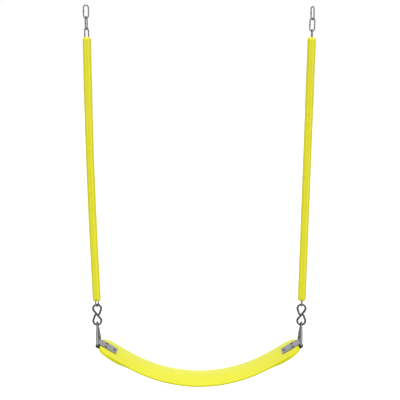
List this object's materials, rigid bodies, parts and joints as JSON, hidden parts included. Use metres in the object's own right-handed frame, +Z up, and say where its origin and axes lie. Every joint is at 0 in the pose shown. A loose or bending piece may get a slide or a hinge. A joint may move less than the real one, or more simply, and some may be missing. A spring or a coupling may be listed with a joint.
{
  "type": "belt swing",
  "caption": "Flexible belt swing seat riveted into steel end straps and hung by triangles and S-hooks from chains in soft sleeves.",
  "frame": {"origin": "under the middle of the belt, at its lowest point; centre of the swing across and front to back", "axes": "+X across the swing from the left chain to the right, +Y from the seat's front edge to its back edge, +Z up along the chains"},
  "size_m": [0.6856, 0.15, 1.1311],
  "materials": {
    "belt": "smooth moulded yellow polymer, satin",
    "sleeve": "soft yellow vinyl, semi-gloss",
    "chain": "zinc plated, satin",
    "hook": "zinc plated, slightly dull",
    "triangle": "zinc plated, satin",
    "bracket": "zinc plated sheet, satin",
    "rivet": "domed head"
  },
  "bodies": {
    "hangers": {"top_link_left": "chain", "top_link_right": "chain"},
    "upper_link_left": {"second_link_left": "chain"},
    "chain_left": {"third_link_left": "chain", "chain_in_sleeve_left": "chain", "sleeve_left": "sleeve", "last_link_left": "chain"},
    "hook_left": {"s_hook_left": "hook"},
    "triangle_left": {"triangle_left": "triangle"},
    "upper_link_right": {"second_link_right": "chain"},
    "chain_right": {"third_link_right": "chain", "chain_in_sleeve_right": "chain", "sleeve_right": "sleeve", "last_link_right": "chain"},
    "hook_right": {"s_hook_right": "hook"},
    "triangle_right": {"triangle_right": "triangle"},
    "seat": {"belt_seat": "belt", "end_bracket_left": "bracket", "end_bracket_right": "bracket", "rivet_left_rear": "rivet", "rivet_left_front": "rivet", "rivet_left_inner": "rivet", "rivet_right_rear": "rivet", "rivet_right_front": "rivet", "rivet_right_inner": "rivet"}
  },
  "joints": [
    {"name": "swing_left", "type": "hinge", "parent": "hangers", "child": "upper_link_left", "pos_m": [-0.332, 0, 1.0918], "axis": [1, 0, 0], "range_deg": [-60, 60]},
    {"name": "sway_left", "type": "hinge", "parent": "upper_link_left", "child": "chain_left", "pos_m": [-0.33113, 0, 1.05864], "axis": [0, 1, 0], "range_deg": [-8, 8]},
    {"name": "seat_pitch", "type": "hinge", "parent": "hook_left", "child": "seat", "pos_m": [-0.3106, 0, 0.1716], "axis": [1, 0, 0], "range_deg": [-45, 45]},
    {"name": "triangle_turn_left", "type": "hinge", "parent": "seat", "child": "triangle_left", "pos_m": [-0.307, 0, 0.11378], "axis": [0, 1, 0], "range_deg": [-3, 3]},
    {"name": "triangle_turn_right", "type": "hinge", "parent": "seat", "child": "triangle_right", "pos_m": [0.307, 0, 0.11378], "axis": [0, 1, 0], "range_deg": [-3, 3]},
    {"name": "hook_turn_left", "type": "hinge", "parent": "chain_left", "child": "hook_left", "pos_m": [-0.31083, 0, 0.2292], "axis": [0, 1, 0], "range_deg": [-8.7, 8.7]},
    {"name": "swing_right", "type": "hinge", "parent": "hangers", "child": "upper_link_right", "pos_m": [0.33206, 0, 1.0918], "axis": [1, 0, 0], "range_deg": [-60, 60]},
    {"name": "sway_right", "type": "hinge", "parent": "upper_link_right", "child": "chain_right", "pos_m": [0.33125, 0, 1.05882], "axis": [0, 1, 0], "range_deg": [-8, 8]},
    {"name": "hook_turn_right", "type": "hinge", "parent": "chain_right", "child": "hook_right", "pos_m": [0.31083, 0, 0.2292], "axis": [0, 1, 0], "range_deg": [-8.7, 8.7]}
  ],
  "couplings": [
    {"joint": "swing_right", "follows": "swing_left", "ratio": 1},
    {"joint": "sway_right", "follows": "sway_left", "ratio": 1},
    {"joint": "hook_turn_left", "follows": "sway_left", "ratio": -1.0655},
    {"joint": "hook_turn_right", "follows": "sway_left", "ratio": -1.0655}
  ]
}
